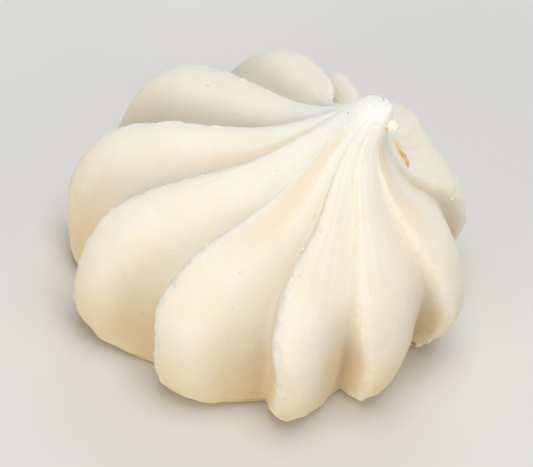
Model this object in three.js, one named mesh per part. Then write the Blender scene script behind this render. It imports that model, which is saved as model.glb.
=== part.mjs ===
// A piped vanilla meringue cookie, shaped the way it is made: a star nozzle is held just over the
// baking sheet, ribs of meringue swell out of its notches into a round belly, and the nozzle is
// then lifted and dragged aside, which draws the ribs together into a leaning, blunt peak.
//
// Units are millimetres and +Z is up. The flat foot, which lay on the baking sheet, is at z = 0,
// and the origin is in the middle of the cookie's bounding box, at the foot.
//
// The surface is a LatheGeometry whose vertices are moved onto the piped form. A ring of the lathe
// is one level of the cookie, and its segments run round the star, rib by rib.

import * as THREE from "three";
import { mergeVertices } from "three/addons/utils/BufferGeometryUtils.js";

// ---------------------------------------------------------------- driving dimensions

const WIDTH = 50; // mm across the belly, before each rib's own reach
const HEIGHT = 36; // mm from the foot to the peak
const SINK = 2; // mm by which a whole crease lies lower than its rib where ribs are lifted
const SWELL = 0.012; // share of the radius by which a rib thickens and thins along its length
const SWELL_WAVES = 1.6; // how often it does so from foot to peak
const SWELL_SHIFT = 0.37; // how far each rib's wave is shifted from its neighbour's, in waves
const PINCH_FROM = 0.5; // share of the way up where a pinched crease starts to turn aside
const PINCH_TO = 0.72; // share of the way up where it has turned all the way

// ---------------------------------------------------------------- resolution

const STEPS_PER_RIB = 11;
const RINGS = 46;

// ---------------------------------------------------------------- levels, from foot to peak

// height is a share of HEIGHT, and radius, that of the rib crests, a share of half of WIDTH.
// groove is how deep the creases go, as a share of the radius, and even how far they are all as
// deep as each other there. lift is how much of a rib's own lift and of a crease's SINK is felt.
// twist turns the star, in degrees, and lean moves its middle, in mm.
const LEVELS = [
  { height: 0.0, radius: 0.85, groove: 0.1, even: 0.9, lift: 0.0, twist: 10, lean: [0.0, 0.0] },
  { height: 0.035, radius: 0.915, groove: 0.14, even: 0.9, lift: 0.02, twist: 9, lean: [0.1, 0.0] },
  { height: 0.135, radius: 0.98, groove: 0.2, even: 0.85, lift: 0.1, twist: 7, lean: [0.3, 0.0] },
  { height: 0.27, radius: 1.0, groove: 0.225, even: 0.65, lift: 0.4, twist: 5, lean: [0.7, 0.0] },
  { height: 0.405, radius: 0.955, groove: 0.205, even: 0.35, lift: 0.86, twist: 2, lean: [1.0, 0.0] },
  { height: 0.505, radius: 0.84, groove: 0.17, even: 0.12, lift: 1.0, twist: 0, lean: [1.8, 0.1] },
  { height: 0.565, radius: 0.7, groove: 0.17, even: 0.0, lift: 0.94, twist: -2, lean: [3.1, 0.1] },
  { height: 0.61, radius: 0.55, groove: 0.19, even: 0.0, lift: 0.82, twist: -4, lean: [4.6, 0.1] },
  { height: 0.665, radius: 0.4, groove: 0.19, even: 0.0, lift: 0.62, twist: -7, lean: [6.1, 0.1] },
  { height: 0.75, radius: 0.27, groove: 0.15, even: 0.0, lift: 0.34, twist: -11, lean: [6.9, 0.1] },
  { height: 0.84, radius: 0.17, groove: 0.09, even: 0.0, lift: 0.13, twist: -16, lean: [7.7, 0.1] },
  { height: 0.92, radius: 0.12, groove: 0.04, even: 0.0, lift: 0.04, twist: -22, lean: [8.7, 0.1] },
  { height: 0.97, radius: 0.09, groove: 0.03, even: 0.0, lift: 0.0, twist: -28, lean: [9.5, 0.1] },
  { height: 0.995, radius: 0.05, groove: 0.02, even: 0.0, lift: 0.0, twist: -32, lean: [10.1, 0.1] },
];
const PEAK_LEAN = [10.4, 0.1]; // mm, of the point that closes the peak at HEIGHT

// ---------------------------------------------------------------- ribs, anticlockwise from above

// start is where the crease before the rib lies at the shoulder, in degrees from +X. reach scales
// how far the rib swells out, lift raises its shoulder, in mm, and crease scales the depth of the
// crease before it. pinch turns that crease aside below the neck, in degrees, so that the rib ends
// in a round lobe there.
const RIBS = [
  { start: 9, reach: 0.955, lift: 0.7, crease: 0.5, pinch: 0 },
  { start: 46, reach: 0.925, lift: 0.8, crease: 0.0, pinch: 0 },
  { start: 76, reach: 0.87, lift: 0.3, crease: 0.4, pinch: 0 },
  { start: 92, reach: 0.98, lift: 0.8, crease: 1.2, pinch: 28 },
  { start: 129, reach: 0.99, lift: 0.4, crease: 1.35, pinch: 0 },
  { start: 167, reach: 0.985, lift: 0.4, crease: 1.7, pinch: 0 },
  { start: 201, reach: 1.01, lift: 0.0, crease: 0.8, pinch: 0 },
  { start: 236, reach: 0.98, lift: 0.0, crease: 0.75, pinch: 0 },
  { start: 275, reach: 0.98, lift: 0.2, crease: 0.75, pinch: 0 },
  { start: 303, reach: 0.98, lift: 0.4, crease: 0.45, pinch: 0 },
  { start: 334, reach: 1.0, lift: 0.7, crease: 0.45, pinch: 0 },
];

// Across a rib, from its own crease to the next: [share of the rib's width, share of the groove's
// depth]. The crest stands close behind the crease, and the flank falls away gently after it.
const RIB_SECTION = [
  [0, 0],
  [0.02, 0.5],
  [0.06, 0.84],
  [0.13, 0.98],
  [0.25, 1],
  [0.42, 0.88],
  [0.6, 0.6],
  [0.78, 0.27],
  [0.92, 0.07],
  [1, 0],
];

// ---------------------------------------------------------------- curves through those values

const { degToRad, euclideanModulo, lerp, smoothstep } = THREE.MathUtils;

const throughPairs = (pairs) => new THREE.SplineCurve(pairs.map((pair) => new THREE.Vector2(...pair)));

const outline = throughPairs(LEVELS.map(({ radius, height }) => [(radius * WIDTH) / 2, height * HEIGHT]));
const relief = throughPairs(LEVELS.map(({ groove, lift }) => [groove, lift]));
const evenness = throughPairs(LEVELS.map(({ even }, level) => [level, even]));
const middle = throughPairs(LEVELS.map(({ lean }) => lean));
const turning = throughPairs(LEVELS.map(({ twist }, level) => [level, degToRad(twist)]));
const section = throughPairs(RIB_SECTION);

// ---------------------------------------------------------------- the piped surface

function startOf(rib, rise) {
  const { start, pinch } = RIBS[rib % RIBS.length];
  return start + pinch * smoothstep(rise, PINCH_FROM, PINCH_TO);
}

function swellOf(rib, rise) {
  return 1 + SWELL * Math.sin(2 * Math.PI * (SWELL_WAVES * rise + SWELL_SHIFT * rib));
}

// A point of the surface: across is the share of the way over the rib, and rise the share of the
// way from the foot to the last level.
function pipedPoint(rib, across, rise) {
  const own = RIBS[rib];
  const next = RIBS[(rib + 1) % RIBS.length];
  const { x: place, y: crest } = section.getPoint(across);
  const { x: fullRadius, y: height } = outline.getPoint(rise);
  const { x: groove, y: liftShare } = relief.getPoint(rise);
  const { x: leanX, y: leanY } = middle.getPoint(rise);
  const start = startOf(rib, rise);
  const ribWidth = euclideanModulo(startOf(rib + 1, rise) - start, 360);
  const angle = degToRad(start + place * ribWidth) + turning.getPoint(rise).y;
  const blend = smoothstep(place, 0, 1);
  const reach = lerp(own.reach * swellOf(rib, rise), next.reach * swellOf(rib + 1, rise), blend);
  const crease = lerp(lerp(own.crease, next.crease, place), 1, evenness.getPoint(rise).y);
  const depth = groove * crease * (1 - crest);
  const radius = fullRadius * reach * (1 - depth);
  const lift = lerp(own.lift, next.lift, blend) - SINK * crease * (1 - crest);
  return new THREE.Vector3(
    leanX + radius * Math.cos(angle),
    leanY + radius * Math.sin(angle),
    height + liftShare * lift,
  );
}

function meringueGeometry() {
  const levels = Array.from({ length: RINGS }, (_, ring) => new THREE.Vector2(1, ring));
  const profile = [new THREE.Vector2(0, 0), ...levels, new THREE.Vector2(0, RINGS)];
  const segments = RIBS.length * STEPS_PER_RIB;
  const geometry = new THREE.LatheGeometry(profile, segments);
  const position = geometry.getAttribute("position");
  for (let segment = 0; segment <= segments; segment++) {
    const step = segment % segments;
    const rib = Math.floor(step / STEPS_PER_RIB);
    const across = (step % STEPS_PER_RIB) / STEPS_PER_RIB;
    const footMiddle = new THREE.Vector3(0, 0, 0);
    const peak = new THREE.Vector3(...PEAK_LEAN, HEIGHT);
    const column = levels.map((_, ring) => pipedPoint(rib, across, ring / (RINGS - 1)));
    [footMiddle, ...column, peak].forEach((point, row) => {
      position.setXYZ(segment * profile.length + row, point.x, point.y, point.z);
    });
  }
  geometry.deleteAttribute("normal");
  geometry.deleteAttribute("uv");
  const closed = mergeVertices(geometry, 1e-4);
  closed.computeVertexNormals();
  closed.computeBoundingBox();
  const box = closed.boundingBox;
  closed.translate(-(box.min.x + box.max.x) / 2, -(box.min.y + box.max.y) / 2, -box.min.z);
  return closed;
}

// ---------------------------------------------------------------- the cookie

const bakedMeringue = new THREE.MeshStandardMaterial({
  color: 0xf3ebd9,
  roughness: 0.85,
  metalness: 0,
});

const cookie = new THREE.Group();
const meringue = new THREE.Mesh(meringueGeometry(), bakedMeringue);
meringue.name = "meringue";
cookie.add(meringue);

export default cookie;
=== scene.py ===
# %% [markdown]
# # A piped vanilla meringue cookie
#
# A meringue cookie is a foam of egg white and sugar. It is pressed through a star nozzle onto a
# baking sheet and dried in a low oven until it is crisp all through. Each notch of the nozzle
# leaves one rounded rib, the sheet leaves a flat foot, and the last pull of the nozzle leaves a
# torn peak that leans to one side.
#
# The lesson makes it in that order: the star is drawn, raised level by level and drawn together,
# and then the skin gets its marks, its pores and its baked colours.

# %% Load the frame
import math
import random

import bmesh
import bpy
from mathutils import Matrix, Vector


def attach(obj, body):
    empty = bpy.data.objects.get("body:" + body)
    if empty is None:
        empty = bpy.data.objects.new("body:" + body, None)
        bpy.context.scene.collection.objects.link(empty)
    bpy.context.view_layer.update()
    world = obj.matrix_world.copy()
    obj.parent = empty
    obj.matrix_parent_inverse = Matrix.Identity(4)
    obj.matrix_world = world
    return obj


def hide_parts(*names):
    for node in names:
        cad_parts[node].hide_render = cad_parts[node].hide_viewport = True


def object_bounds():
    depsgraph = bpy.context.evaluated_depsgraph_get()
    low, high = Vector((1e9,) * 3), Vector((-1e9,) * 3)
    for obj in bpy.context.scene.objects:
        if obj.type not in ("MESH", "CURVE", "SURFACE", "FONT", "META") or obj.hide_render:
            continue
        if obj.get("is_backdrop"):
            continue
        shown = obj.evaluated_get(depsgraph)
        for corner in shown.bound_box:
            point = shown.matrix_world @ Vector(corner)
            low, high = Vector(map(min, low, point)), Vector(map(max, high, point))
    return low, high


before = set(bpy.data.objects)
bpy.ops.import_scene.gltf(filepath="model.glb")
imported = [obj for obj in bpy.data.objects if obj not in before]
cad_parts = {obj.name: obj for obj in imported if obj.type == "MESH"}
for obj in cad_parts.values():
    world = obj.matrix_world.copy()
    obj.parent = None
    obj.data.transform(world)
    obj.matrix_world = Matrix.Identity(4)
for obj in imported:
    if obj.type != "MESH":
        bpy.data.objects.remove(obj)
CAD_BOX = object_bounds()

MM = 0.001

for corner in CAD_BOX:
    print("the solid cookie's box has a corner at", [round(c / MM, 2) for c in corner], "mm")

# %% [markdown]
# ## Helpers
#
# The frame arrives selected, and an operator acts on all that is selected, so each piece starts
# from an empty selection. Colours are noted as the hex values that a screen shows, while Blender
# mixes light in linear numbers, so one function turns the first into the second. All the node
# trees, of shape and of colour, are made with one more function, which adds a node, sets it and
# links it.

# %% Selection, colours and nodes


def start_clean():
    """Deselects everything, so that the next operator acts on its own piece."""
    if bpy.context.object and bpy.context.object.mode != "OBJECT":
        bpy.ops.object.mode_set(mode="OBJECT")
    bpy.ops.object.select_all(action="DESELECT")


def linear(hex_colour):
    """A hex sRGB colour as linear red, green, blue and alpha, by the numbers of that standard."""
    channels = [int(hex_colour[i : i + 2], 16) / 255 for i in (1, 3, 5)]
    return [c / 12.92 if c <= 0.04045 else ((c + 0.055) / 1.055) ** 2.4 for c in channels] + [1.0]


def add_node(tree, kind, inputs=(), **settings):
    """Adds a node with its settings. inputs maps a socket to a value or to an output to link."""
    node = tree.nodes.new(kind)
    for setting, value in settings.items():
        setattr(node, setting, value)
    for socket, value in dict(inputs).items():
        if isinstance(value, bpy.types.NodeSocket):
            tree.links.new(value, node.inputs[socket])
        else:
            node.inputs[socket].default_value = value
    return node


print("a cream white in linear light:", [round(c, 3) for c in linear("#f6efdf")])

# %% [markdown]
# ## The piped form
#
# Real meringue keeps the shape of the nozzle: a star whose arms are the ribs. It could be sculpted,
# but a sculpted rib has no size that can be checked. Here every level of the cookie is a star with
# its own radius, crease depth, turn and lean, and a smooth line runs through those values from the
# foot to the peak. No two ribs are alike, so each has its own start, reach, lift and crease.
#
# Across a rib, the crest stands close behind the crease and the flank falls away gently. That is
# what a rib looks like when the nozzle turns while it is lifted: it folds over its neighbour.

# %% Sizes of the cookie, in millimetres and degrees
WIDTH = 50
HEIGHT = 36
SINK = 2.0  # how much lower a whole crease lies than its rib, where ribs are lifted
SWELL = 0.012  # share of the radius by which a rib thickens and thins along its length
SWELL_WAVES = 1.6  # how often it does so from foot to peak
SWELL_SHIFT = 0.37  # how far each rib's wave is shifted from its neighbour's, in waves
PINCH_FROM, PINCH_TO = 0.5, 0.72  # between which shares of the way up a pinched crease turns

# One row for each level, from foot to peak. height is a share of HEIGHT, radius a share of half of
# WIDTH at the ribs' crests, and groove how deep the creases go, as a share of the radius. even is
# how far they are all as deep as each other, and lift how much of the ribs' own lift is felt.
# twist turns the star, in degrees, and lean moves its middle, in millimetres.
LEVEL_COLUMNS = ("height", "radius", "groove", "even", "lift", "twist", "lean")
LEVEL_ROWS = [
    (0.0, 0.85, 0.1, 0.9, 0.0, 10, (0.0, 0.0)),
    (0.035, 0.915, 0.14, 0.9, 0.02, 9, (0.1, 0.0)),
    (0.135, 0.98, 0.2, 0.85, 0.1, 7, (0.3, 0.0)),
    (0.27, 1.0, 0.225, 0.65, 0.4, 5, (0.7, 0.0)),
    (0.405, 0.955, 0.205, 0.35, 0.86, 2, (1.0, 0.0)),
    (0.505, 0.84, 0.17, 0.12, 1.0, 0, (1.8, 0.1)),
    (0.565, 0.7, 0.17, 0.0, 0.94, -2, (3.1, 0.1)),
    (0.61, 0.55, 0.19, 0.0, 0.82, -4, (4.6, 0.1)),
    (0.665, 0.4, 0.19, 0.0, 0.62, -7, (6.1, 0.1)),
    (0.75, 0.27, 0.15, 0.0, 0.34, -11, (6.9, 0.1)),
    (0.84, 0.17, 0.09, 0.0, 0.13, -16, (7.7, 0.1)),
    (0.92, 0.12, 0.04, 0.0, 0.04, -22, (8.7, 0.1)),
    (0.97, 0.09, 0.03, 0.0, 0.0, -28, (9.5, 0.1)),
    (0.995, 0.05, 0.02, 0.0, 0.0, -32, (10.1, 0.1)),
]
LEVELS = [dict(zip(LEVEL_COLUMNS, row)) for row in LEVEL_ROWS]
PEAK_LEAN = (10.4, 0.1)

# Anticlockwise from above. start is where the crease before the rib lies, in degrees, and pinch
# turns that crease aside. reach scales how far the rib swells out, lift raises its shoulder, in
# millimetres, and crease scales the depth of the crease before it.
RIBS = [
    {"start": 9, "reach": 0.955, "lift": 0.7, "crease": 0.5, "pinch": 0},
    {"start": 46, "reach": 0.925, "lift": 0.8, "crease": 0.0, "pinch": 0},
    {"start": 76, "reach": 0.87, "lift": 0.3, "crease": 0.4, "pinch": 0},
    {"start": 92, "reach": 0.98, "lift": 0.8, "crease": 1.2, "pinch": 28},
    {"start": 129, "reach": 0.99, "lift": 0.4, "crease": 1.35, "pinch": 0},
    {"start": 167, "reach": 0.985, "lift": 0.4, "crease": 1.7, "pinch": 0},
    {"start": 201, "reach": 1.01, "lift": 0.0, "crease": 0.8, "pinch": 0},
    {"start": 236, "reach": 0.98, "lift": 0.0, "crease": 0.75, "pinch": 0},
    {"start": 275, "reach": 0.98, "lift": 0.2, "crease": 0.75, "pinch": 0},
    {"start": 303, "reach": 0.98, "lift": 0.4, "crease": 0.45, "pinch": 0},
    {"start": 334, "reach": 1.0, "lift": 0.7, "crease": 0.45, "pinch": 0},
]

# Across a rib: (share of its width, share of the crease's depth that has been filled).
RIB_SECTION = [
    (0, 0),
    (0.02, 0.5),
    (0.06, 0.84),
    (0.13, 0.98),
    (0.25, 1),
    (0.42, 0.88),
    (0.6, 0.6),
    (0.78, 0.27),
    (0.92, 0.07),
    (1, 0),
]
print(len(RIBS), "ribs of", min(r["reach"] for r in RIBS), "to", max(r["reach"] for r in RIBS), "reach")

# %% A smooth line through a row of values


def along(values, share):
    """The value that far along a smooth line through all the values."""
    place = share * (len(values) - 1)
    near = min(int(place), len(values) - 2)
    t = place - near
    start, end = values[near], values[near + 1]
    leaving = (end - values[max(near - 1, 0)]) / 2
    arriving = (values[min(near + 2, len(values) - 1)] - start) / 2
    straight = 3 * (end - start) - 2 * leaving - arriving
    return start + leaving * t + straight * t**2 + (2 * (start - end) + leaving + arriving) * t**3


def level_at(rise):
    """All sizes of the star that far up, between the foot (0) and the last level (1)."""
    star = {name: along([level[name] for level in LEVELS], rise) for name in LEVELS[0] if name != "lean"}
    star["lean"] = [along([level["lean"][axis] for level in LEVELS], rise) for axis in (0, 1)]
    return star


print("halfway up the star is", round(level_at(0.5)["radius"] * WIDTH, 1), "mm wide")

# %% One corner of the piped form
LIP_PLACE, LIP_SPREAD = 0.2, 0.16  # where a rib's lip stands and how wide it is, across the rib


def start_of(rib, rise):
    """Where the crease before a rib lies, in degrees. A pinched one turns aside below the neck."""
    turned = min(max((rise - PINCH_FROM) / (PINCH_TO - PINCH_FROM), 0), 1)
    own = RIBS[rib % len(RIBS)]
    return own["start"] + own["pinch"] * turned * turned * (3 - 2 * turned)


def swell(rib, rise):
    """How much thicker a rib is here than elsewhere: the bag is never pressed quite evenly."""
    return 1 + SWELL * math.sin(2 * math.pi * (SWELL_WAVES * rise + SWELL_SHIFT * rib))


def piped_corner(rib, across, star, rise):
    """A point of the skin, how deep it lies in a crease, both in mm, and how near it is to a lip."""
    own, following = RIBS[rib], RIBS[(rib + 1) % len(RIBS)]
    place = along([share for share, _ in RIB_SECTION], across)
    crest = along([filled for _, filled in RIB_SECTION], across)
    start = start_of(rib, rise)
    rib_width = (start_of(rib + 1, rise) - start) % 360
    angle = math.radians(start + place * rib_width + star["twist"])
    blend = place * place * (3 - 2 * place)
    own_reach = own["reach"] * swell(rib, rise)
    following_reach = following["reach"] * swell(rib + 1, rise)
    reach = own_reach + (following_reach - own_reach) * blend
    crease = own["crease"] + (following["crease"] - own["crease"]) * place
    crease += (1 - crease) * star["even"]
    depth = star["groove"] * crease * (1 - crest)
    radius = star["radius"] * WIDTH / 2 * reach * (1 - depth)
    lift = own["lift"] + (following["lift"] - own["lift"]) * blend - SINK * crease * (1 - crest)
    lip_height = own["crease"] + (1 - own["crease"]) * star["even"]
    lip = lip_height * math.exp(-(((across - LIP_PLACE) / LIP_SPREAD) ** 2))
    point = Vector((
        star["lean"][0] + radius * math.cos(angle),
        star["lean"][1] + radius * math.sin(angle),
        star["height"] * HEIGHT + star["lift"] * lift,
    ))
    return point, depth * star["radius"] * WIDTH / 2, lip


print("first crest is", round(piped_corner(0, 0.3, level_at(0.25), 0.25)[0].length, 2), "mm out")

# %% [markdown]
# ## Pipe the cage
#
# A circle of corners lies on the baking sheet. Its corners are pulled to the first star, the whole
# ring is extruded, and the new ring's corners are pulled to the next star, up to the peak. The
# same could be done with a lattice of curves and a skin over them, but rings of corners keep one
# edge flowing along each rib and one in the bottom of each crease, where a smooth surface needs
# them.
#
# Each corner also remembers where it was piped, in two rows of three numbers for later steps:
#
# - **drum**: where the corner would be if its rib ran straight up a drum, in millimetres. A
#   pattern on the drum follows the ribs wherever they turn, lean and draw together.
# - **rib_place**: how deep it lies in a crease, in millimetres, how near it is to the lip beside
#   the crease, and how far up it stands, both from 0 to 1.

# %% Draw the circle
STEPS_PER_RIB = 11
RINGS = 42
CORNERS = len(RIBS) * STEPS_PER_RIB

start_clean()
bpy.ops.mesh.primitive_circle_add(vertices=CORNERS, radius=WIDTH / 2 * MM)
cookie = bpy.context.object
cookie.name = cookie.data.name = "piped_meringue"
turn_of_corner = cookie.data.attributes.new("turn", "INT", "POINT")
turn_of_corner.data.foreach_set("value", range(CORNERS))
cookie.data.attributes.new("drum", "FLOAT_VECTOR", "POINT")
cookie.data.attributes.new("rib_place", "FLOAT_VECTOR", "POINT")
print("a circle of", CORNERS, "corners, and", STEPS_PER_RIB, "for each rib")

# %% Work out the stars


def star_ring(ring):
    """Every corner of one ring: its point, and what it remembers of where it was piped."""
    rise = ring / (RINGS - 1)
    star = level_at(rise)
    corners = []
    for corner in range(CORNERS):
        rib, step = divmod(corner, STEPS_PER_RIB)
        across = step / STEPS_PER_RIB
        point, depth, lip = piped_corner(rib, across, star, rise)
        turned = 2 * math.pi * corner / CORNERS
        drum = Vector((math.cos(turned), math.sin(turned), 0)) * WIDTH / 2
        drum.z = DRUM_HEIGHT * rise
        corners.append((point, drum, Vector((depth, lip, rise))))
    return corners


outline = [level_at(ring / (RINGS - 1)) for ring in range(RINGS)]
steps = [
    math.hypot((b["radius"] - a["radius"]) * WIDTH / 2, (b["height"] - a["height"]) * HEIGHT)
    for a, b in zip(outline, outline[1:])
]
DRUM_HEIGHT = sum(steps)
stars = [star_ring(ring) for ring in range(RINGS)]
points = [point for star in stars for point, _, _ in star] + [Vector((*PEAK_LEAN, HEIGHT))]
middle = [(min(p[axis] for p in points) + max(p[axis] for p in points)) / 2 for axis in (0, 1)]
CENTRING = Vector((-middle[0], -middle[1], 0))
print("a rib is", round(DRUM_HEIGHT, 1), "mm long, and the cookie moves by", CENTRING.to_tuple(2), "mm")

# %% Raise the stars


def pull_ring(cage, star):
    """Pulls the selected corners, one by one, to their places in the star, and selects them again."""
    turn = cage.verts.layers.int["turn"]
    drum = cage.verts.layers.float_vector["drum"]
    rib_place = cage.verts.layers.float_vector["rib_place"]
    ring = [corner for corner in cage.verts if corner.select]
    bpy.ops.mesh.select_all(action="DESELECT")
    for corner in ring:
        point, corner[drum], corner[rib_place] = star[corner[turn]]
        corner.select = True
        bpy.ops.transform.translate(value=(point + CENTRING) * MM - corner.co)
        corner.select = False
    for corner in ring:
        corner.select = True
    cage.select_flush(True)


bpy.ops.object.mode_set(mode="EDIT")
bpy.ops.mesh.select_all(action="SELECT")
cage = bmesh.from_edit_mesh(cookie.data)
for ring, star in enumerate(stars):
    if ring > 0:
        bpy.ops.mesh.extrude_region_move()
    pull_ring(cage, star)
print("raised", RINGS, "stars,", len(cage.verts), "corners")

# %% [markdown]
# The peak is closed by extruding the last ring once more and merging it into one corner, past the
# ring, so that it rounds off. The foot is closed the same way, but first drawn inwards in a few
# rings, because a smooth surface over one wide fan of triangles would crease at its rim.

# %% Close the peak and the foot
FOOT_RINGS = (0.93, 0.8, 0.6, 0.36, 0.14)  # shares of the foot's size

bpy.ops.mesh.extrude_region_move()
bpy.ops.mesh.merge(type="CENTER")
tip = next(corner for corner in cage.verts if corner.select)
bpy.ops.transform.translate(value=(Vector((*PEAK_LEAN, HEIGHT)) + CENTRING) * MM - tip.co)

bpy.ops.mesh.select_all(action="DESELECT")
bpy.ops.mesh.select_non_manifold()
foot_size = 1.0
for share in FOOT_RINGS:
    inwards = share / foot_size
    bpy.ops.mesh.extrude_region_move()
    bpy.ops.transform.resize(value=(inwards, inwards, 1), center_override=CENTRING * MM)
    foot_size = share
bpy.ops.mesh.extrude_region_move()
bpy.ops.mesh.merge(type="CENTER")
bpy.ops.mesh.select_all(action="SELECT")
bpy.ops.mesh.normals_make_consistent(inside=False)
open_edges = sum(1 for edge in cage.edges if len(edge.link_faces) != 2)
bpy.ops.object.mode_set(mode="OBJECT")
print("open edges:", open_edges, " faces:", len(cookie.data.polygons))

# %% [markdown]
# ## Smooth the cage
#
# Subdivision Surface turns the cage into one flowing skin. Two levels put a corner at about every
# third of a millimetre, which is fine enough to carry the marks of the next step as true shape.

# %% Subdivide
SMOOTHING_LEVELS = 2

smoothing = cookie.modifiers.new("smooth skin", "SUBSURF")
smoothing.levels = smoothing.render_levels = SMOOTHING_LEVELS
bpy.context.view_layer.objects.active = cookie
bpy.ops.object.modifier_apply(modifier=smoothing.name)
bpy.ops.object.select_all(action="DESELECT")
cookie.select_set(True)
bpy.ops.object.shade_smooth()
print("skin of", len(cookie.data.polygons), "faces")

# %% [markdown]
# ## Marks in the skin
#
# Dried meringue is not as even as icing. Its ribs are a little lumpy, since the bag is pressed in
# pulses. Fine streaks run along the ribs where the nozzle's metal dragged the foam, and they crowd
# together on the neck. The lips beside the creases are slightly torn, the rim above the foot is
# ragged where it stuck to the sheet, and small air bubbles stand out or have burst.
#
# They could be a displacement texture, but a texture has no seam-free way round the cookie. A node
# tree of the geometry kind moves the real corners instead, along the surface's own normal, and
# reads the drum, so that the streaks follow each rib. It is applied, so the marks are in the mesh.

# %% Parts that any such tree shares
PICK_EDGE = 0.02  # how softly cells are picked for a spot
SPOT_CORE = 0.4  # share of a spot's radius inside which it is whole


def shape_tree(name):
    """A new tree that takes a skin in and gives it out, and the skin's own place in mm."""
    tree = bpy.data.node_groups.new(name, "GeometryNodeTree")
    tree.interface.new_socket("Skin", in_out="INPUT", socket_type="NodeSocketGeometry")
    tree.interface.new_socket("Skin", in_out="OUTPUT", socket_type="NodeSocketGeometry")
    in_metres = add_node(tree, "GeometryNodeInputPosition").outputs[0]
    in_mm = add_node(tree, "ShaderNodeVectorMath", {0: in_metres, "Scale": 1 / MM}, operation="SCALE")
    return tree, in_mm.outputs[0]


def chained(tree, operation, first, *others):
    """An output of all the values, put together one after another by the same operation."""
    for other in others:
        first = add_node(tree, "ShaderNodeMath", {0: first, 1: other}, operation=operation).outputs[0]
    return first


def share_between(tree, value, start, end, low=0.0, high=1.0):
    """An output that goes smoothly from low to high as value goes from start to end."""
    limits = {"Value": value, "From Min": start, "From Max": end, "To Min": low, "To Max": high}
    return add_node(tree, "ShaderNodeMapRange", limits, interpolation_type="SMOOTHSTEP").outputs["Result"]


def rough(tree, vector, spacing, top, seed, detail=2.0):
    """Noise of that spacing, both ways from 0, and about top high from its lowest to its highest."""
    settings = {"Vector": vector, "W": seed, "Scale": 1 / spacing, "Detail": detail, "Roughness": 0.5}
    noise = add_node(tree, "ShaderNodeTexNoise", settings, noise_dimensions="4D").outputs[0]
    return chained(tree, "MULTIPLY", chained(tree, "SUBTRACT", noise, 0.5), top)


def pits(tree, vector, spacing, radius, picked, depth):
    """Round spots in the picked share of a pattern's cells. They sink by depth, or rise below 0."""
    cells = add_node(tree, "ShaderNodeTexVoronoi", {"Vector": vector, "Scale": 1 / spacing})
    pick = add_node(tree, "ShaderNodeSeparateXYZ", {0: cells.outputs["Color"]}).outputs[0]
    chosen = share_between(tree, pick, 1.0 - PICK_EDGE - picked, 1.0 - picked)
    edge = radius / spacing
    hollow = share_between(tree, cells.outputs["Distance"], edge, SPOT_CORE * edge, 0, -depth)
    return chained(tree, "MULTIPLY", chosen, hollow)


def apply_tree(skin, tree, geometry, heights):
    """Moves the skin along its normal by all heights, in mm, and keeps the result in its mesh."""
    in_metres = chained(tree, "MULTIPLY", chained(tree, "ADD", *heights), MM)
    normal = add_node(tree, "GeometryNodeInputNormal").outputs[0]
    push = add_node(tree, "ShaderNodeVectorMath", {0: normal, "Scale": in_metres}, operation="SCALE")
    moved = add_node(tree, "GeometryNodeSetPosition", {"Geometry": geometry, "Offset": push.outputs[0]})
    add_node(tree, "NodeGroupOutput", {0: moved.outputs[0]})
    modifier = skin.modifiers.new(tree.name, "NODES")
    modifier.node_group = tree
    bpy.context.view_layer.objects.active = skin
    bpy.ops.object.modifier_apply(modifier=modifier.name)


marks, place = shape_tree("marks in the skin")
print("a tree called", marks.name)

# %% What the tree reads
STREAK_STRETCH = (1, 1, 0.09)  # draws a pattern out, along the rib

height = add_node(marks, "ShaderNodeSeparateXYZ", {0: place}).outputs["Z"]
drum, rib_place = [
    add_node(marks, "GeometryNodeInputNamedAttribute", {"Name": name}, data_type="FLOAT_VECTOR").outputs[0]
    for name in ("drum", "rib_place")
]
_, lip, rise = add_node(marks, "ShaderNodeSeparateXYZ", {0: rib_place}).outputs
drawn_out = {0: drum, 1: STREAK_STRETCH}
stretched = add_node(marks, "ShaderNodeVectorMath", drawn_out, operation="MULTIPLY").outputs[0]
print("reads place, drum and rib_place")

# %% Lumps, streaks and grain
LUMP_SPACING, LUMP_HEIGHT = 9.0, 1.1
STREAK_SPACING, STREAK_HEIGHT, STREAK_DETAIL = 5.0, 0.6, 4.0
GRAIN_SPACING, GRAIN_HEIGHT = 1.1, 0.16
FOOT_STAYS_FLAT = (0.25, 1.2)  # mm up, from where no mark shows to where all do

# Between two shares of the way up, each goes from one strength to another.
LUMPS_FADE = (0.5, 0.7, 1.0, 0.25)
STREAKS_CROWD = (0.35, 0.75, 0.35, 1.0)
STREAKS_END = (0.75, 0.93, 1.0, 0.0)

above_foot = share_between(marks, height, *FOOT_STAYS_FLAT)
on_body = share_between(marks, rise, *LUMPS_FADE)
on_neck = share_between(marks, rise, *STREAKS_CROWD)
off_peak = share_between(marks, rise, *STREAKS_END)
lumps = rough(marks, place, LUMP_SPACING, LUMP_HEIGHT, seed=1.0)
streaks = rough(marks, stretched, STREAK_SPACING, STREAK_HEIGHT, seed=2.0, detail=STREAK_DETAIL)
body_marks = [
    chained(marks, "MULTIPLY", on_body, lumps),
    chained(marks, "MULTIPLY", on_neck, off_peak, streaks),
    rough(marks, place, GRAIN_SPACING, GRAIN_HEIGHT, seed=3.0),
]
print("lumps every", LUMP_SPACING, "mm, streaks every", STREAK_SPACING, "mm round the belly")

# %% Torn lips, ragged rim and torn peak
LIP_SPACING, LIP_HEIGHT = 1.4, 1.3
RIM_SPACING, RIM_HEIGHT = 2.6, 1.2
PEAK_SPACING, PEAK_HEIGHT = 2.2, 0.35
LIPS_HEAL = (0.62, 0.4)  # shares of the way up, from where the lips are whole to where all are torn
RIM_ENDS = (1.12, 3.2, 1.0, 0.0)  # mm up, from where the rim is most ragged to where it ends
PEAK_TEARS = (0.92, 0.97)  # shares of the way up, from the whole neck to the torn peak

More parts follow.
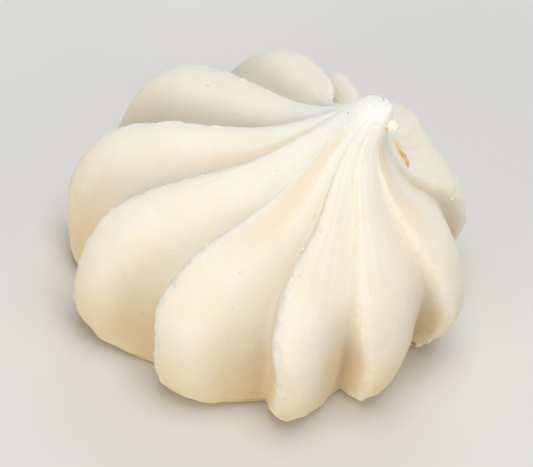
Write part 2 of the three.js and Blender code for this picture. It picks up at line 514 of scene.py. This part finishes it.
on_lip = chained(marks, "MULTIPLY", lip, share_between(marks, rise, *LIPS_HEAL))
on_rim = share_between(marks, height, *RIM_ENDS)
on_peak = share_between(marks, rise, *PEAK_TEARS)
torn_marks = [
    chained(marks, "MULTIPLY", on_lip, rough(marks, place, LIP_SPACING, LIP_HEIGHT, seed=4.0)),
    chained(marks, "MULTIPLY", on_rim, rough(marks, place, RIM_SPACING, RIM_HEIGHT, seed=5.0)),
    chained(marks, "MULTIPLY", on_peak, rough(marks, place, PEAK_SPACING, PEAK_HEIGHT, seed=6.0)),
]
print("lips, rim and peak are torn by up to", max(LIP_HEIGHT, RIM_HEIGHT, PEAK_HEIGHT) / 2, "mm")

# %% Blisters and burst bubbles
BUBBLE_SPACING, BUBBLE_RADIUS, BUBBLE_SHARE = 3.4, 0.6, 0.25
BURST_DEPTH, BLISTER_HEIGHT = 0.2, 0.12
BLISTER_SHIFT = (1.7, 0.9, 2.3)  # mm, so that blisters don't lie where bubbles burst

shifted = add_node(marks, "ShaderNodeVectorMath", {0: place, 1: BLISTER_SHIFT}, operation="ADD")
bubble_marks = [
    pits(marks, place, BUBBLE_SPACING, BUBBLE_RADIUS, BUBBLE_SHARE, BURST_DEPTH),
    pits(marks, shifted.outputs[0], BUBBLE_SPACING, BUBBLE_RADIUS, BUBBLE_SHARE, -BLISTER_HEIGHT),
]
print("bubbles up to", 2 * BUBBLE_RADIUS, "mm across")

# %% [markdown]
# One longer tear lies on the flank below the peak. Syrup that hadn't dissolved seeped into it and
# browned there. The tear is a dent along a line between two places on the same rib, and the tree
# also notes how near the syrup each corner is, for the colour of the crust.

# %% The tear below the peak
TEAR = ({"rib": 0, "across": 0.61, "rise": 0.671}, {"rib": 0, "across": 0.4, "rise": 0.631})
TEAR_WIDTH, TEAR_DEPTH = 1.3, 0.4
TEAR_BED = 0.1  # mm from the tear's line within which it is deepest
STAIN_RADIUS, STAIN_CORE = 2.4, 0.3


def on_skin(rib, across, rise):
    """The point of the piped form at that place, in the cookie's own millimetres."""
    return piped_corner(rib, across, level_at(rise), rise)[0] + CENTRING


tear_top, tear_end = [on_skin(**end) for end in TEAR]
tear_way = tear_end - tear_top
from_top = add_node(marks, "ShaderNodeVectorMath", {0: place, 1: tear_top}, operation="SUBTRACT").outputs[0]
share_way = tear_way / tear_way.length_squared
passed = add_node(marks, "ShaderNodeVectorMath", {0: from_top, 1: share_way}, operation="DOT_PRODUCT")
kept = add_node(marks, "ShaderNodeClamp", {"Value": passed.outputs["Value"]}).outputs[0]
part_way = {0: tear_way, "Scale": kept}
nearest = add_node(marks, "ShaderNodeVectorMath", part_way, operation="SCALE").outputs[0]
tear_gap = add_node(marks, "ShaderNodeVectorMath", {0: from_top, 1: nearest}, operation="DISTANCE")
dent = share_between(marks, tear_gap.outputs["Value"], TEAR_WIDTH / 2, TEAR_BED, 0.0, -TEAR_DEPTH)
top_gap = add_node(marks, "ShaderNodeVectorMath", {0: from_top}, operation="LENGTH")
stain = share_between(marks, top_gap.outputs["Value"], STAIN_RADIUS, STAIN_CORE)
print("a tear of", round(tear_way.length, 1), "mm")

# %% Move the skin
all_marks = body_marks + torn_marks + bubble_marks
upper_marks = [chained(marks, "MULTIPLY", above_foot, mark) for mark in all_marks]
skin_in = add_node(marks, "NodeGroupInput").outputs[0]
note = {"Geometry": skin_in, "Name": "stain", "Value": stain}
stained = add_node(marks, "GeometryNodeStoreNamedAttribute", note, data_type="FLOAT").outputs[0]
apply_tree(cookie, marks, stained, upper_marks + [dent])
lowest = min(corner.co.z for corner in cookie.data.vertices)
print("lowest corner of the skin:", round(lowest / MM, 3), "mm")

# %% [markdown]
# ## Crumb and beads
#
# When the nozzle tears off, it leaves a porous crumb of foam beside the peak. Where sugar hadn't
# dissolved, drops of syrup come out in the oven and brown to caramel: one lies in the tear, one on
# the neck and one against the crumb. They could be modelled as one blob each, but a ball that is
# stretched and then pushed out of round by the same kind of tree looks as uneven as the real ones.

# %% Crumb and beads of caramel
CRUMB_PORES = (0.7, 0.3, 0.8)  # spacing and radius, in mm, and the share of cells that has one


def small_lump(name, centre, size, longest, wrinkle, wrinkle_height, pit_depth=0.0, fineness=5):
    """An uneven drop: size along its longest way, side and thickness, all in mm."""
    start_clean()
    bpy.ops.mesh.primitive_ico_sphere_add(
        subdivisions=fineness,
        radius=0.5 * MM,
        location=centre * MM,
        rotation=longest.to_track_quat("X", "Z").to_euler(),
        scale=size,
    )
    bpy.ops.object.transform_apply(location=True, rotation=True, scale=True)
    lump = bpy.context.object
    lump.name = lump.data.name = name
    tree, own_place = shape_tree(name + " skin")
    bumps = [rough(tree, own_place, wrinkle, wrinkle_height, seed=7.0)]
    if pit_depth:
        bumps.append(pits(tree, own_place, *CRUMB_PORES, pit_depth))
    apply_tree(lump, tree, add_node(tree, "NodeGroupInput").outputs[0], bumps)
    bpy.ops.object.shade_smooth()
    return lump


CRUMB = {"rib": 10, "across": 0.67, "rise": 0.886}
CRUMB_SIZE, CRUMB_WAY = (2.3, 1.5, 1.3), Vector((1, -0.2, -0.1))
STANDS_OFF = Vector((0.45, 0.0, -0.1))  # mm, from the skin to the crumb's middle
crumb_centre = on_skin(**CRUMB) + STANDS_OFF
crumb = small_lump(
    "torn_crumb", crumb_centre, CRUMB_SIZE, CRUMB_WAY, wrinkle=0.8, wrinkle_height=0.7, pit_depth=0.2
)

SUNK = Vector((-0.04, 0, -0.08))  # mm, into the bed of the tear
BEADS = {
    "tear_caramel": ((tear_top + tear_end) / 2 + SUNK, (2.1, 0.7, 0.5), tear_way),
    "neck_caramel": (on_skin(6, 0.56, 0.874), (0.32, 0.26, 0.24), Vector((0, 0, 1))),
    "crumb_caramel": (crumb_centre + Vector((-0.45, -0.62, 0.1)), (0.4, 0.34, 0.3), Vector((1, 0, 0))),
}
beads = [small_lump(name, *bead, wrinkle=0.5, wrinkle_height=0.25) for name, bead in BEADS.items()]
print("a crumb of", CRUMB_SIZE[0], "mm and", len(beads), "beads of caramel")

# %% [markdown]
# Cookies rub against each other, so dust and crumbs of broken foam cling to the ribs. They are
# scattered by chance, but always by the same chance, over the upper ribs, where they come to rest.
# Half of them hang on the lips, which they broke from.

# %% Loose crumbs
LOOSE_CRUMBS = 56
LOOSE_SIZES = (0.2, 0.55)
SIDE_SHARES, THICKNESS_SHARES = (0.6, 0.9), (0.4, 0.7)  # of the longest side
LIP_CATCHES, FLANK_CATCHES = (0.08, 0.26), (0.3, 0.85)  # shares of the way across a rib
RIBS_CATCH = (0.3, 0.6)  # shares of the way up

chance = random.Random(11)
crumbs = []
for number in range(LOOSE_CRUMBS):
    across = chance.choice((chance.uniform(*LIP_CATCHES), chance.uniform(*FLANK_CATCHES)))
    resting_place = on_skin(chance.randrange(len(RIBS)), across, chance.uniform(*RIBS_CATCH))
    size_share = chance.random() ** 2  # so most are small
    longest_side = LOOSE_SIZES[0] + (LOOSE_SIZES[1] - LOOSE_SIZES[0]) * size_share
    shares = (1.0, chance.uniform(*SIDE_SHARES), chance.uniform(*THICKNESS_SHARES))
    shape = [longest_side * share for share in shares]
    way = Vector((chance.uniform(-1, 1), chance.uniform(-1, 1), 0.1))
    name = f"crumb_{number}"
    crumbs.append(small_lump(name, resting_place, shape, way, wrinkle=0.35, wrinkle_height=0.3, fineness=3))
start_clean()
for loose in crumbs:
    loose.select_set(True)
bpy.context.view_layer.objects.active = crumbs[0]
bpy.ops.object.join()
loose_crumbs = bpy.context.object
loose_crumbs.name = loose_crumbs.data.name = "loose_crumbs"
print(LOOSE_CRUMBS, "crumbs of", LOOSE_SIZES[0], "to", LOOSE_SIZES[1], "mm")

# %% [markdown]
# ## The baked skin
#
# The finish is what drying leaves: a chalky, fully matte crust of fine sugar crystals, a little
# translucent, so that light bleeds softly into the creases. It could be a plain cream diffuse
# colour, but this one also carries painted light: a painted highlight whitens the peak and the
# lips, and painted shade darkens the creases and turns warm in them low down. The belly is warmer
# low down, partly as baked tan and partly as painted warm bounce light, the ribs are warmer where
# they lean together, and the foot is tanned, since it lay on the hot sheet.

# %% Colours of the crust
SKIN = "#f6eedd"
SKIN_WARM = "#f5ebd6"
# painted highlight along the lips
LIP_HIGHLIGHT_WHITE = "#fcf9f3"
# painted highlight on the peak
PEAK_HIGHLIGHT_WHITE = "#fcf9f0"
# painted shade in the creases
CREASE_SHADE = "#d9cfb9"
# warmer painted shade, for light bounced into the low creases
CREASE_WARM_SHADE = "#dcc49b"
STREAK_WARM = "#efdcbc"
# warm low on the belly: partly baked tan, partly painted warm bounce light
BELLY_WARM = "#ecd5ab"
FOOT_TAN = "#e6d3ad"
FOOT_DEEP = "#d6bd8c"
FOOT_PIT = "#b9965e"
CARAMEL = "#bf7a34"
STAIN = "#f2d9a4"


def painted(tree, under, coats):
    """A colour output: under, with coats over it, each a share and a hex colour or output."""
    for share, over in coats:
        colours = [linear(c) if isinstance(c, str) else c for c in (under, over)]
        layers = {0: share, 6: colours[0], 7: colours[1]}
        under = add_node(tree, "ShaderNodeMix", layers, data_type="RGBA").outputs[2]
    return under


def spot_in_mm(tree):
    """The shaded spot's own place on the piece, in mm."""
    in_metres = add_node(tree, "ShaderNodeTexCoord").outputs["Object"]
    in_mm = add_node(tree, "ShaderNodeVectorMath", {0: in_metres, "Scale": 1 / MM}, operation="SCALE")
    return in_mm.outputs[0]


print("skin", [round(c, 3) for c in linear(SKIN)])

# %% What the crust's colours read
STRIA_STRETCH = (1, 1, 0.03)  # draws a pattern out, along the rib

baked = bpy.data.materials.new("baked_meringue")
baked.use_nodes = True
crust = baked.node_tree
crust.nodes.clear()
spot = spot_in_mm(crust)
spot_height = add_node(crust, "ShaderNodeSeparateXYZ", {0: spot}).outputs["Z"]
spot_place = add_node(crust, "ShaderNodeAttribute", attribute_name="rib_place").outputs["Vector"]
depth_here, lip_here, rise_here = add_node(crust, "ShaderNodeSeparateXYZ", {0: spot_place}).outputs
spot_drum = add_node(crust, "ShaderNodeAttribute", attribute_name="drum").outputs["Vector"]
drawn_out = {0: spot_drum, 1: STRIA_STRETCH}
along_ribs = add_node(crust, "ShaderNodeVectorMath", drawn_out, operation="MULTIPLY").outputs[0]
spot_stain = add_node(crust, "ShaderNodeAttribute", attribute_name="stain").outputs["Fac"]
print("reads place, drum, rib_place and stain")

# %% Foot, creases and lips
# Heights above the table and depths in a crease are in mm, each from where a colour starts to
# where it is whole. A third and fourth number are the shares that it has there.
FOOT_BOTTOM = (1.5, 0.25)
FOOT_EDGE = (0.2, 1.0)
# Painted shade fills the creases, and turns warm in them low down.
CREASE_SHADE_DEPTHS = (0.2, 2.6, 0.0, 0.6)
CREASE_WARM_SHADE_HEIGHTS = (17.0, 8.0)
LIP_CREST = (0.45, 0.95)  # nearness to the lip, from 0 to 1
# The painted highlight on the lips grows from the first height to the second, from the third share to the
# fourth.
LIP_HIGHLIGHT_HEIGHTS = (3.0, 14.0, 0.3, 0.85)
LIP_ENDS = (2.0, 0.3)

at_foot = share_between(crust, spot_height, *FOOT_BOTTOM)
off_foot = share_between(crust, spot_height, *FOOT_EDGE)
painted_crease_shade = chained(crust, "MULTIPLY", share_between(crust, depth_here, *CREASE_SHADE_DEPTHS), off_foot)
warm_shade_low_down = share_between(crust, spot_height, *CREASE_WARM_SHADE_HEIGHTS)
lip_there = chained(crust, "MULTIPLY", lip_here, off_foot)
lip_crest = share_between(crust, lip_there, *LIP_CREST)
lip_highlight_fade = share_between(crust, spot_height, *LIP_HIGHLIGHT_HEIGHTS)
not_deep = share_between(crust, depth_here, *LIP_ENDS)
painted_lip_highlight = chained(crust, "MULTIPLY", lip_crest, lip_highlight_fade, not_deep)
print("lips are whitest from", LIP_HIGHLIGHT_HEIGHTS[1], "mm up, and the foot is tan up to", FOOT_BOTTOM[0], "mm")

# %% Patches, belly, neck and peak
# An edge is two heights of a noise, which lies between -0.5 and 0.5, and at times the shares there.
PATCH_SPACING, PATCH_DETAIL, PATCH_EDGE = 7.0, 3.0, (-0.1, 0.12)
# The belly's warmth is partly baked tan and partly painted warm bounce light.
BELLY_SPACING, BELLY_EDGE = 9.0, (-0.15, 0.15, 0.45, 0.9)
BELLY_HEIGHTS = (15.0, 2.5)  # mm up
STREAK_EDGE = (-0.02, 0.16, 0.0, 0.6)
NECK_STARTS, NECK_ENDS = (0.42, 0.6), (0.9, 0.75)  # shares of the way up
# A painted highlight whitens the peak, coming in between these shares of the way up.
PEAK_HIGHLIGHT_RISE = (0.5, 0.85)  # shares of the way up

patch_noise = rough(crust, spot, PATCH_SPACING, 1.0, seed=1.0, detail=PATCH_DETAIL)
patches = share_between(crust, patch_noise, *PATCH_EDGE)
belly_patches = share_between(crust, rough(crust, spot, BELLY_SPACING, 1.0, seed=7.0), *BELLY_EDGE)
on_belly = share_between(crust, spot_height, *BELLY_HEIGHTS)
at_belly = chained(crust, "MULTIPLY", on_belly, belly_patches)
warm_streaks = share_between(crust, rough(crust, along_ribs, STREAK_SPACING, 1.0, seed=6.0), *STREAK_EDGE)
above_belly = share_between(crust, rise_here, *NECK_STARTS)
below_peak = share_between(crust, rise_here, *NECK_ENDS)
neck_streaks = chained(crust, "MULTIPLY", warm_streaks, above_belly, below_peak)
painted_peak_highlight = share_between(crust, rise_here, *PEAK_HIGHLIGHT_RISE)
print("patches every", PATCH_SPACING, "mm and warm streaks every", STREAK_SPACING, "mm round the neck")

# %% Caramel line round the rim
RIM_LINE_HEIGHT = 1.1
LINE_WANDERS = (3.0, 1.6)  # spacing and height of its ups and downs, in mm
LINE_BREAKS, LINE_SHOWS = 8.0, (0.0, 0.12, 0.0, 0.75)
LINE_EDGE = (0.2, 0.05)  # mm from its middle

wander = rough(crust, spot, *LINE_WANDERS, seed=8.0)
off_line = chained(crust, "ADD", spot_height, wander, -RIM_LINE_HEIGHT)
line_gap = add_node(crust, "ShaderNodeMath", {0: off_line}, operation="ABSOLUTE").outputs[0]
line_shows = share_between(crust, rough(crust, spot, LINE_BREAKS, 1.0, seed=9.0), *LINE_SHOWS)
rim_line = chained(crust, "MULTIPLY", share_between(crust, line_gap, *LINE_EDGE), line_shows)
print("caramel line", RIM_LINE_HEIGHT, "mm up")

# %% Caramel specks, spots and blots
# Spacing and radius are in mm, and then comes the share of cells that has a spot.
SPECKS, SPECK_SHADE = (5.5, 0.3, 0.16), 0.7
RIM_SPOTS, RIM_SPOT_SHADE = (2.6, 0.45, 0.25), 0.8
SPOTTED_RIM = (3.5, 1.8)  # mm up
BLOT_SPACING, BLOT_DETAIL, BLOT_EDGE = 3.0, 4.0, (0.15, 0.24, 0.0, 0.75)

specks = pits(crust, spot, *SPECKS, -SPECK_SHADE)
near_rim = share_between(crust, spot_height, *SPOTTED_RIM)
rim_spots = chained(crust, "MULTIPLY", near_rim, pits(crust, spot, *RIM_SPOTS, -RIM_SPOT_SHADE))
blot_noise = rough(crust, spot, BLOT_SPACING, 1.0, seed=10.0, detail=BLOT_DETAIL)
foot_blots = chained(crust, "MULTIPLY", at_foot, share_between(crust, blot_noise, *BLOT_EDGE))
print("specks", 2 * SPECKS[1], "mm and rim spots", 2 * RIM_SPOTS[1], "mm across")

# %% Pores, striae and grain
# Real pores and sugar grains are a tenth of a millimetre across or less, and the striae that the
# nozzle leaves lie a few tenths apart. That is too fine to show, so all of them are drawn as
# coarse as they need to show.
PORES, PORE_DEPTH = (1.7, 0.2, 0.35), 0.05
FOOT_PITS, FOOT_PIT_DEPTH = (1.5, 0.45, 0.5), 0.12
STRIA_SPACING, STRIA_HEIGHT, STRIAE_FADE = 1.0, 0.12, (0.85, 0.45, 0.15, 1.0)
FINE_GRAIN, FINE_GRAIN_HEIGHT = 0.4, 0.05
LIP_GRAIN, LIP_GRAIN_HEIGHT = 0.6, 0.3
FOOT_GRAIN, FOOT_GRAIN_HEIGHT, FOOT_GRAIN_DETAIL = 1.0, 0.3, 3.0

pores = pits(crust, spot, *PORES, PORE_DEPTH)
foot_pits = chained(crust, "MULTIPLY", at_foot, pits(crust, spot, *FOOT_PITS, 1.0))
striped = chained(crust, "MULTIPLY", off_foot, share_between(crust, rise_here, *STRIAE_FADE))
striae = rough(crust, along_ribs, STRIA_SPACING, STRIA_HEIGHT, seed=3.0)
lip_grain = rough(crust, spot, LIP_GRAIN, LIP_GRAIN_HEIGHT, seed=4.0)
foot_grain = rough(crust, spot, FOOT_GRAIN, FOOT_GRAIN_HEIGHT, seed=5.0, detail=FOOT_GRAIN_DETAIL)
fine_heights = [
    pores,
    rough(crust, spot, FINE_GRAIN, FINE_GRAIN_HEIGHT, seed=2.0),
    chained(crust, "MULTIPLY", striped, striae),
    chained(crust, "MULTIPLY", lip_there, lip_grain),
    chained(crust, "MULTIPLY", at_foot, foot_grain),
    chained(crust, "MULTIPLY", foot_pits, FOOT_PIT_DEPTH),
]
relief = {"Height": chained(crust, "ADD", *fine_heights), "Distance": MM, "Strength": 1.0}
fine_bump = add_node(crust, "ShaderNodeBump", relief).outputs[0]
print(len(fine_heights), "kinds of fine relief")

# %% Baked meringue
PORE_SHADE, FOOT_PIT_SHADE = 0.12, 0.6

# In all foam, light goes about a millimetre in, and red goes furthest.
FOAM_GLOW = {
    "Subsurface Weight": 0.35,
    "Subsurface Radius": (1.0, 0.8, 0.6),
    "Subsurface Scale": 0.9 * MM,
}
COATS = [
    (patches, SKIN_WARM),
    (at_belly, BELLY_WARM),
    (painted_crease_shade, painted(crust, CREASE_SHADE, [(warm_shade_low_down, CREASE_WARM_SHADE)])),
    (painted_lip_highlight, LIP_HIGHLIGHT_WHITE),
    (painted_peak_highlight, PEAK_HIGHLIGHT_WHITE),
    (neck_streaks, STREAK_WARM),
    (at_foot, painted(crust, FOOT_TAN, [(patches, FOOT_DEEP)])),
    (chained(crust, "MULTIPLY", pores, -PORE_SHADE / PORE_DEPTH), FOOT_DEEP),
    (spot_stain, STAIN),
    (chained(crust, "MULTIPLY", foot_pits, -FOOT_PIT_SHADE), FOOT_PIT),
    (foot_blots, CARAMEL),
    (rim_line, CARAMEL),
    (specks, CARAMEL),
    (rim_spots, CARAMEL),
]
crust_shader = add_node(
    crust,
    "ShaderNodeBsdfPrincipled",
    {
        "Base Color": painted(crust, SKIN, COATS),
        "Roughness": share_between(crust, patches, 0.0, 1.0, 0.82, 0.92),
        "IOR": 1.45,
        "Specular IOR Level": 0.25,
        "Normal": fine_bump,
        **FOAM_GLOW,
    },
)
add_node(crust, "ShaderNodeOutputMaterial", {"Surface": crust_shader.outputs[0]})
cookie.data.materials.append(baked)
print("material:", baked.name, "with", len(COATS), "coats of colour")

# %% [markdown]
# The crumb shows the foam's inside, which is whiter than the crust and full of fine pores. The
# beads are clear brown syrup that set hard, so they are the only glossy places on the cookie.

# %% Torn foam
FOAM_WHITE, FOAM_SHADE = "#f9f2e2", "#e3d6bc"
FOAM_PORES, FOAM_PORE_DEPTH, FOAM_PORE_SHADE = (0.5, 0.16, 0.6), 0.12, 0.48

torn_foam = bpy.data.materials.new("torn_foam")
torn_foam.use_nodes = True
foam = torn_foam.node_tree
foam.nodes.clear()
foam_spot = spot_in_mm(foam)
foam_pores = pits(foam, foam_spot, *FOAM_PORES, FOAM_PORE_DEPTH)
foam_shade = chained(foam, "MULTIPLY", foam_pores, -FOAM_PORE_SHADE / FOAM_PORE_DEPTH)
foam_shader = add_node(
    foam,
    "ShaderNodeBsdfPrincipled",
    {
        "Base Color": painted(foam, FOAM_WHITE, [(foam_shade, FOAM_SHADE)]),
        "Roughness": 0.95,
        "Specular IOR Level": 0.2,
        "Normal": add_node(foam, "ShaderNodeBump", {"Height": foam_pores, "Distance": MM}).outputs[0],
        **FOAM_GLOW,
    },
)
add_node(foam, "ShaderNodeOutputMaterial", {"Surface": foam_shader.outputs[0]})
for piece in (crumb, loose_crumbs):
    piece.data.materials.append(torn_foam)
print("material:", torn_foam.name)

# %% Caramelised syrup
SYRUP, SYRUP_PALE = "#dba55c", "#efcd96"
SYRUP_CLOUDS, CLOUD_EDGE = 0.6, (-0.15, 0.15)

caramel = bpy.data.materials.new("caramelised_syrup")
caramel.use_nodes = True
syrup = caramel.node_tree
syrup.nodes.clear()
clouds = rough(syrup, spot_in_mm(syrup), SYRUP_CLOUDS, 1.0, seed=1.0)
syrup_shader = add_node(
    syrup,
    "ShaderNodeBsdfPrincipled",
    {
        "Base Color": painted(syrup, SYRUP, [(share_between(syrup, clouds, *CLOUD_EDGE), SYRUP_PALE)]),
        "Roughness": 0.35,
        "IOR": 1.49,
        "Subsurface Weight": 0.4,
        "Subsurface Radius": (1.0, 0.5, 0.2),
        "Subsurface Scale": 0.5 * MM,
    },
)
add_node(syrup, "ShaderNodeOutputMaterial", {"Surface": syrup_shader.outputs[0]})
for bead in beads:
    bead.data.materials.append(caramel)
print("material:", caramel.name)

# %% [markdown]
# ## Hang the pieces on the frame
#
# The solid from the workshop is the same cookie in plain facets. The piped skin stands in for it,
# and the crumb, the loose crumbs and the beads ride along.

# %% Ride and replace
pieces = [cookie, crumb, loose_crumbs, *beads]
for piece in pieces:
    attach(piece, "root")
    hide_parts("meringue")
print("pieces:", ", ".join(piece.name for piece in pieces))

# %% [markdown]
# ## Table, camera and light
#
# A cookie is small, so a long lens from arm's length shows it without stretching the near ribs. The
# camera is rolled a little, which makes the cookie lie askew in the picture. Its focal length
# follows from how much of the picture the cookie should fill, so it still fits after a change.
#
# Cream on cream needs light with a direction: the key light comes in low from the left and rakes
# over the ribs, and broad, weaker lights from the top, the right and the back open the shadows.

# %% The table
TABLE_SIZE = 3.0
TABLE_GREY = "#dedcd8"

start_clean()
bpy.ops.mesh.primitive_plane_add(size=TABLE_SIZE, location=(0, 0, 0))
table = bpy.context.object
table.name = table.data.name = "table"
table_top = bpy.data.materials.new("pale matte table")
table_top.use_nodes = True
table_shader = table_top.node_tree.nodes["Principled BSDF"]
table_shader.inputs["Base Color"].default_value = linear(TABLE_GREY)
table_shader.inputs["Roughness"].default_value = 0.9
table.data.materials.append(table_top)
table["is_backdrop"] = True
print("table of", TABLE_SIZE, "m")

# %% The camera
ELEVATION, ROLL = 50, 13  # degrees
DISTANCE = 0.8  # m, to the middle of the cookie
COOKIE_SHARE = 0.76  # of the picture's width
NEAREST_SEEN = 0.05  # m

toward = Vector((0, math.cos(math.radians(ELEVATION)), -math.sin(math.radians(ELEVATION))))
turned = toward.to_track_quat("-Z", "Y").to_matrix() @ Matrix.Rotation(math.radians(ROLL), 3, "Z")
to_right, to_top = turned.col[0], turned.col[1]


def seen_along(axis):
    """Where the cookie starts and ends, seen along one axis of the picture."""
    places = [corner.co.dot(axis) for corner in cookie.data.vertices]
    return min(places), max(places)


low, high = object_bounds()
aim = (low + high) / 2
for axis in (to_right, to_top):
    start, end = seen_along(axis)
    aim += axis * ((start + end) / 2 - aim.dot(axis))
cookie_span = seen_along(to_right)[1] - seen_along(to_right)[0]
bpy.ops.object.camera_add(location=aim - toward * DISTANCE, rotation=turned.to_euler())
camera = bpy.context.object
camera.name = "camera"
camera.data.lens = camera.data.sensor_width * COOKIE_SHARE * DISTANCE / cookie_span
camera.data.clip_start = NEAREST_SEEN
bpy.context.scene.camera = camera
print("the cookie is", round(cookie_span / MM, 1), "mm wide in the picture")
print("the lens is", round(camera.data.lens), "mm long")

# %% The light
SOFTBOX_SIZE = 0.5
SOFTBOX_DISTANCE = 0.85
SKY, SKY_STRENGTH = "#f6f8fb", 0.3

# turn and rise are in degrees, and power is in watts.
SOFTBOXES = {
    "key": {"turn": -28, "rise": 15, "power": 2.75, "colour": "#fff9ee"},
    "top": {"turn": 0, "rise": 88, "power": 3.8, "colour": "#f6f9ff"},
    "right_fill": {"turn": 60, "rise": 30, "power": 1.5, "colour": "#fff2e0"},
    "back_fill": {"turn": 180, "rise": 40, "power": 1.5, "colour": "#f0f5ff"},
}


def softbox(name, turn, rise, power, colour):
    """A square soft light that shines at the cookie from turn degrees right of the front."""
    bpy.ops.object.light_add(type="AREA")
    light = bpy.context.object
    light.name = name
    side, up = math.radians(turn), math.radians(rise)
    towards_light = Vector((math.sin(side) * math.cos(up), -math.cos(side) * math.cos(up), math.sin(up)))
    light.location = aim + towards_light * SOFTBOX_DISTANCE
    light.rotation_euler = towards_light.to_track_quat("Z", "Y").to_euler()
    light.data.size = SOFTBOX_SIZE
    light.data.energy = power
    light.data.color = linear(colour)[:3]


for name, box in SOFTBOXES.items():
    softbox(name, **box)
world = bpy.data.worlds.new("studio")
bpy.context.scene.world = world
world.use_nodes = True
sky = world.node_tree.nodes["Background"]
sky.inputs["Color"].default_value = linear(SKY)
sky.inputs["Strength"].default_value = SKY_STRENGTH
bpy.context.scene.view_settings.view_transform = "Standard"
print(len(SOFTBOXES), "softboxes and a pale sky")

# %% Measure and finish
VISUAL_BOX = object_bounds()
for corner in VISUAL_BOX:
    print("the dressed cookie's box has a corner at", [round(c / MM, 2) for c in corner], "mm")
